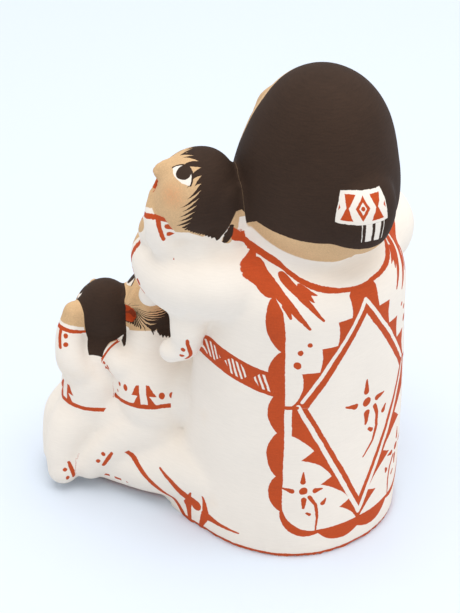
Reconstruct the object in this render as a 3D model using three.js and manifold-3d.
// A seated pueblo storyteller figure in fired clay, with three children, made as one piece.
// Millimetres, +Z up. The figure faces -Y, its left side is +X, and the origin is on the
// underside, below the head.
import * as THREE from "three";
import { mergeVertices } from "three/addons/utils/BufferGeometryUtils.js";
import Module from "manifold-3d";

const wasm = await Module();
wasm.setup();

// Driving size
const figureHeight = 196;

// Proportions of the figure, as shares of its height
const headWidth = 0.301 * figureHeight;
const robeWidth = 0.449 * figureHeight;
const robeDepth = 0.388 * figureHeight;
const armThickness = 0.153 * figureHeight;
const legThickness = 0.194 * figureHeight;
const childHeadWidth = 0.143 * figureHeight;
const childThickness = 0.143 * figureHeight;

// The pose is drawn on a grid with 196 steps to the figure's height.
const share = figureHeight / 196;
const point = ([x, y, z]) => new THREE.Vector3(x, y, z).multiplyScalar(share);
const radians = THREE.MathUtils.degToRad;

// Turns a closed geometry into a solid.
function solid(geometry) {
  geometry.deleteAttribute("normal");
  geometry.deleteAttribute("uv");
  const merged = mergeVertices(geometry, 1e-3);
  const vertProperties = merged.attributes.position.array;
  const triVerts = new Uint32Array(merged.index.array);
  return new wasm.Manifold(new wasm.Mesh({ numProp: 3, vertProperties, triVerts }));
}

const join = (...solids) => solids.reduce((all, next) => all.add(next));

// The clay is solid where rolls enclose a pocket, so only the outermost skin is kept.
const larger = (one, other) => (other.volume() > one.volume() ? other : one);
const filled = (body) => body.decompose().reduce(larger);

// Moves every vertex of a geometry to where a function of its old place puts it.
function reshape(geometry, move) {
  const position = geometry.attributes.position;
  const vertex = new THREE.Vector3();
  for (let i = 0; i < position.count; i++) {
    vertex.fromBufferAttribute(position, i);
    const moved = move(vertex);
    position.setXYZ(i, moved.x, moved.y, moved.z);
  }
  return geometry;
}

// A smooth function through values spaced evenly from 0 to 1.
function through(values) {
  const curve = new THREE.SplineCurve(values.map((value, i) => new THREE.Vector2(i, value)));
  return (t) => curve.getPoint(THREE.MathUtils.clamp(t, 0, 1)).y;
}

// A rounded roll of clay with a radius at each of its places, along a smooth path through them.
// Each end is rounded over the share of the length given as cap.
function roll(places, radii, { sides = 9, rings = 10, cap = 0.18 } = {}) {
  const path = new THREE.CatmullRomCurve3(places.map(point), false, "centripetal");
  const radius = through(radii);
  const { normals, binormals } = path.computeFrenetFrames(rings);
  const shape = new THREE.SphereGeometry(1, sides, rings);
  return solid(
    reshape(shape, (v) => {
      const t = Math.acos(THREE.MathUtils.clamp(v.y, -1, 1)) / Math.PI;
      const along = THREE.MathUtils.clamp((t - cap) / (1 - 2 * cap), 0, 1);
      const capTurn = (Math.min(t, 1 - t, cap) / cap) * (Math.PI / 2);
      const ring = Math.hypot(v.x, v.z) || 1;
      const out = (Math.sin(capTurn) * radius(along)) / ring;
      const beyond = (t < 0.5 ? -1 : 1) * Math.cos(capTurn) * radius(along);
      const frame = Math.round(along * rings);
      const place = path.getPointAt(along).addScaledVector(path.getTangentAt(along), beyond);
      return place.addScaledVector(normals[frame], v.x * out).addScaledVector(binormals[frame], v.z * out);
    }),
  );
}

// An egg of clay at a place in a pose: a ball with a radius along each axis, narrower towards
// its top by the taper, fuller towards both ends by the fullness and with its top leaning back.
const ball = { taper: 0, full: 0, lean: 0, sides: 16, rings: 12 };
function egg(pose, at, [width, depth, tall], shaping) {
  const { taper, full, lean, sides, rings } = { ...ball, ...shaping };
  const shape = new THREE.SphereGeometry(1, sides, rings).rotateX(Math.PI / 2);
  reshape(shape, (v) => {
    const narrow = 1 - taper * v.z + full * v.z * v.z;
    const back = lean * v.z * tall;
    return new THREE.Vector3(v.x * width * narrow, v.y * depth * narrow + back, v.z * tall);
  });
  return solid(shape.translate(...at).applyMatrix4(pose));
}

// The pose of a head: where it is, how far it looks up, and where it faces, in degrees from
// straight ahead towards the storyteller's left.
function poseOf({ at, lookUp = 0, facing = 0 }) {
  const turning = new THREE.Euler(-radians(lookUp), 0, radians(facing), "ZYX");
  return new THREE.Matrix4().makeRotationFromEuler(turning).setPosition(point(at));
}

// An upright body by levels. Each level is an oval around its own middle, with its half
// width, its reach to the back and to the front, and a power below 1 where it is squarer.
function upright(levels, sides, rings) {
  const measures = levels[0].map((_, i) => through(levels.map((level) => level[i])));
  const [z, x, y, half, back, front, power] = measures;
  const squared = (value, t) => Math.sign(value) * Math.abs(value) ** power(t);
  return solid(
    reshape(new THREE.CylinderGeometry(1, 1, 1, sides, rings), (v) => {
      const t = v.y + 0.5;
      const ring = Math.hypot(v.x, v.z);
      const across = ring && squared(v.x / ring, t) * ring * half(t);
      const behind = ring && squared(-v.z / ring, t) * ring;
      return new THREE.Vector3(x(t) + across, y(t) + behind * (behind > 0 ? back(t) : front(t)), z(t));
    }),
  );
}

// A level of the storyteller's body: where its middle is, and its reach to the sides, the
// back and the front as shares of the robe's half width and half depth.
const level = (z, x, y, half, back, front, power) => [
  z * share,
  x * share,
  y * share,
  (half * robeWidth) / 2,
  (back * robeDepth) / 2,
  (front * robeDepth) / 2,
  power,
];
const column = upright(
  [
    level(0, 3.5, -2, 0.985, 1.32, 0.68, 0.93),
    level(3, 3.3, -2, 1.005, 1.34, 0.73, 0.92),
    level(30, 1.5, -3, 1, 1.32, 0.68, 0.88),
    level(60, 0, -3, 0.98, 1.28, 0.53, 0.86),
    level(90, -0.5, -2, 0.955, 1.24, 0.42, 0.87),
    level(108, -0.5, 0, 0.93, 1.17, 0.42, 0.89),
    level(118, -0.5, 4, 0.84, 0.97, 0.5, 0.92),
    level(125, -0.5, 8, 0.7, 0.71, 0.58, 1),
    level(132, -0.5, 9, 0.66, 0.66, 0.58, 1),
    level(142, -0.5, 9, 0.66, 0.66, 0.58, 1),
  ],
  38,
  16,
);
const lap = upright(
  [
    level(0, 2, -8, 1.06, 0.92, 0.92, 0.75),
    level(12, 2, -8, 1.05, 0.92, 0.92, 0.75),
    level(24, 2, -8, 0.98, 0.87, 0.87, 0.75),
    level(33, 2, -8, 0.82, 0.71, 0.71, 0.75),
    level(38, 2, -8, 0.55, 0.47, 0.47, 0.75),
  ],
  30,
  6,
);

// A head with its nose and open mouth. The radius is the head's half width, and the other
// sizes are shares of it.
function head({ radius, deep, tall, taper, full, mouth, sides, rings, ...place }) {
  const shaped = (at, sizes, options) =>
    egg(poseOf(place), at.map((n) => n * radius), sizes.map((n) => n * radius), options);
  const skull = shaped([0, 0, 0], [1, deep, tall], { taper, full, sides, rings });
  const noseShape = { taper: 0.35, lean: 0.4, sides: 8, rings: 8 };
  const nose = shaped([0, -0.93 * deep, 0.2], [0.18, 0.2, 0.36], noseShape);
  const openingSize = [mouth.wide, 0.2, mouth.tall];
  const opening = shaped([0, -1.02 * deep, mouth.height], openingSize, { sides: 8, rings: 6 });
  return join(skull, nose).subtract(opening);
}

const storytellerHead = head({
  at: [-1.5, 14, 160],
  radius: headWidth / 2,
  deep: 1.05,
  tall: 1.22,
  taper: 0.26,
  full: 0.28,
  mouth: { height: -0.45, wide: 0.2, tall: 0.17 },
  lookUp: 9,
  sides: 32,
  rings: 18,
});

// The gathered hair at the nape, wound with its tie.
const knotShare = [0.51, 0.49, 0.61];
const hairKnot = egg(poseOf({ at: [0, 37, 149] }), [0, 0, 0], knotShare.map((n) => (n * headWidth) / 2), {
  sides: 18,
  rings: 12,
});

// The storyteller's arms, from shoulder to hand. The left one holds the first child.
const armTaper = [0.52, 0.48, 0.47, 0.39, 0.28].map((n) => n * armThickness);
const heavyLimb = { sides: 16, rings: 14, cap: 0.14 };
const leftArm = roll(
  [[20, 8, 114], [37, 3, 114], [45.5, -9, 113], [44.5, -24, 115], [35, -34, 120]],
  armTaper,
  heavyLimb,
);
const rightArm = roll(
  [[-22, 12, 112], [-42, 4, 110], [-48, -9, 107], [-38, -20, 96], [-22, -22, 88]],
  armTaper,
  heavyLimb,
);

// The legs under the robe, from hip to foot, spread to both sides.
const legTaper = [0.52, 0.5, 0.41, 0.33, 0.26].map((n) => n * legThickness);
const leg = (side) =>
  roll(
    [[24, 4, 19], [34, -16, 18], [46, -35, 14], [56, -53, 12], [60, -60, 15]].map(([x, y, z]) => [
      2 + side * x,
      y,
      z,
    ]),
    legTaper,
    heavyLimb,
  );

// A child is a head, a trunk from hips to shoulders, arms from shoulder to hand and legs from
// hip to foot. Its build makes all of them thicker or thinner, and so does each limb's own.
const childSizes = {
  deep: 1.05,
  tall: 1.18,
  taper: 0.06,
  full: 0,
  mouth: { height: -0.3, wide: 0.17, tall: 0.26 },
  sides: 16,
  rings: 11,
};
const trunkTaper = [0.5, 0.5, 0.38];
const childArmTaper = [0.3, 0.29, 0.26, 0.22, 0.18];
const childLegTaper = [0.43, 0.37, 0.3, 0.25];
function child({ face, trunk, arms, legs, build = 1 }) {
  const thick = (taper, own = 1) => taper.map((n) => n * childThickness * build * own);
  return join(
    head({ ...childSizes, ...face, radius: (face.size * childHeadWidth) / 2 }),
    roll(trunk, thick(trunkTaper), { sides: 14, rings: 8, cap: 0.24 }),
    ...arms.map(({ own, places }) => roll(places, thick(childArmTaper, own))),
    ...legs.map(({ own, places }) => roll(places, thick(childLegTaper, own))),
  );
}

const armChild = child({
  face: { at: [39.8, -8, 149.5], size: 1.06, tall: 1.22, lookUp: 32, facing: 55 },
  trunk: [[38, -9, 106], [38.5, -9, 118], [38, -7, 136]],
  arms: [
    {
      own: 0.95,
      places: [[37, -6, 128], [45, -11, 126], [50.5, -12.5, 131.5], [52.5, -13, 140.5], [50.5, -15, 148.5]],
    },
    {
      own: 0.9,
      places: [[38, -16, 126], [43, -20, 125], [47.5, -22.5, 128], [47, -21.5, 134], [46, -20, 139.5]],
    },
  ],
  legs: [
    { own: 0.7, places: [[45, -4, 104], [48.5, -2, 94], [49, -3, 87], [53, -6.2, 84.6]] },
    { own: 0.7, places: [[36, -20, 104], [40, -25, 99], [43.2, -29, 96], [44.5, -31.3, 94]] },
  ],
});

// Clay worked in between the first child and the storyteller's neck and shoulder.
const nape = roll(
  [[35, 0, 150], [31, 1, 140], [30, -1, 130], [31, -5, 118]],
  [9, 8.5, 9, 10].map((n) => n * share),
);

const thighChild = child({
  face: { at: [33.5, -43, 80], size: 0.985, lookUp: 20, facing: 95 },
  trunk: [[40.5, -32, 44], [40, -34, 54], [37.5, -38, 66]],
  build: 1.25,
  arms: [
    { places: [[36, -33, 58], [41, -34, 59.5], [47, -36, 60], [52, -38.5, 60], [53, -42.5, 61.5]] },
    { own: 0.84, places: [[37, -43, 64], [42, -47, 65], [47, -50, 65], [51, -52, 63], [54, -54, 60]] },
  ],
  legs: [
    { own: 0.94, places: [[43.5, -31, 34], [51.5, -37.5, 27.5], [60, -44, 18], [65, -48.5, 11.5]] },
    { own: 0.8, places: [[44, -44, 32], [54, -49, 26], [62, -53, 17], [67, -56, 10]] },
  ],
});

const kneeChild = child({
  face: { at: [50.3, -56, 75.3], size: 0.845, tall: 1.42, lookUp: 28, facing: -12 },
  trunk: [[57.5, -55, 37], [56.5, -55, 47], [54, -54.5, 61]],
  build: 0.96,
  arms: [
    { places: [[54, -52, 57], [61.5, -53, 54], [66, -54.8, 58.5], [66, -57.3, 69.4], [63, -57.8, 78.6]] },
    { places: [[50, -58, 57], [47, -62, 55], [46, -64, 59], [45.5, -65, 67], [46.5, -65, 75]] },
  ],
  legs: [
    { places: [[61, -55, 33], [68.5, -56, 26], [73.5, -55.5, 16], [75, -54, 8.5]] },
    { places: [[56, -64, 31], [63, -67, 25], [67, -67, 16], [69, -66, 8.5]] },
  ],
});

// Clay worked in behind and under the second and third child, from the robe to the knee.
const seat = roll(
  [[24, -12, 52], [32, -22, 49], [41, -34, 40], [50, -44, 34], [58, -54, 28]],
  [17, 15.5, 13, 12.5, 11].map((n) => n * share),
  { sides: 12, rings: 10 },
);

const figure = join(
  column,
  lap,
  storytellerHead,
  hairKnot,
  leftArm,
  rightArm,
  leg(1),
  leg(-1),
  armChild,
  nape,
  thighChild,
  seat,
  kneeChild,
);

// The underside is cut flat where the figure stands.
const ground = 4 * figureHeight;
const below = solid(new THREE.BoxGeometry(ground, ground, ground).translate(0, 0, -ground / 2));
const standing = filled(figure.subtract(below));

// The solid as a named three.js mesh.
function meshOf(body, name, material) {
  const { vertProperties, triVerts } = body.getMesh();
  const geometry = new THREE.BufferGeometry();
  geometry.setAttribute("position", new THREE.BufferAttribute(new Float32Array(vertProperties), 3));
  geometry.setIndex(new THREE.BufferAttribute(new Uint32Array(triVerts), 1));
  geometry.computeVertexNormals();
  const mesh = new THREE.Mesh(geometry, material);
  mesh.name = name;
  return mesh;
}

const slip = new THREE.MeshStandardMaterial({ color: 0xece5dc, roughness: 0.75, metalness: 0 });
const storyteller = new THREE.Group();
storyteller.add(meshOf(standing, "storyteller_figure", slip));
export default storyteller;
